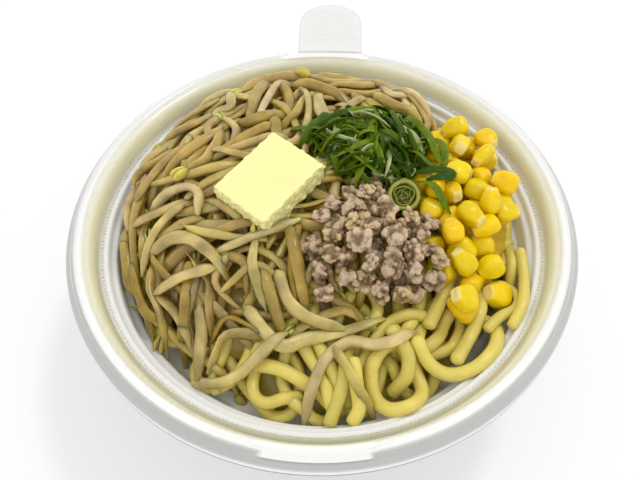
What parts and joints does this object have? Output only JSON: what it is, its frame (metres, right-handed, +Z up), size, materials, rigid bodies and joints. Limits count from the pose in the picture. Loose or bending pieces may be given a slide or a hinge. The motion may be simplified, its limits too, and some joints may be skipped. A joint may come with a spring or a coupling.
{
  "type": "ramen bowl",
  "caption": "Round foam bowl with a clear drop-in tray that carries a heap of noodles, bean sprouts, sweetcorn, minced pork, spring onion and butter.",
  "frame": {"origin": "middle of the bowl's flat underside", "axes": "+Z up; +Y from the bowl's axis towards the tray's pull tab; +X to the right when the tab points away"},
  "size_m": [0.178, 0.206, 0.0889],
  "materials": {
    "bowl": "satin white foam",
    "tray": "clear thin film",
    "noodles": "moist, slightly glossy",
    "bean_sprouts": "moist, translucent",
    "corn": "moist and glossy",
    "minced_pork": "moist and granular",
    "spring_onion": "moist, slightly glossy",
    "onion_ring": "moist, slightly glossy",
    "butter": "smooth and waxy"
  },
  "bodies": {
    "root": {"bowl": "bowl", "tray": "tray", "noodles": "noodles", "bean_sprouts": "bean_sprouts", "corn": "corn", "minced_pork": "minced_pork", "spring_onion": "spring_onion", "onion_ring": "onion_ring", "butter": "butter"}
  },
  "joints": []
}
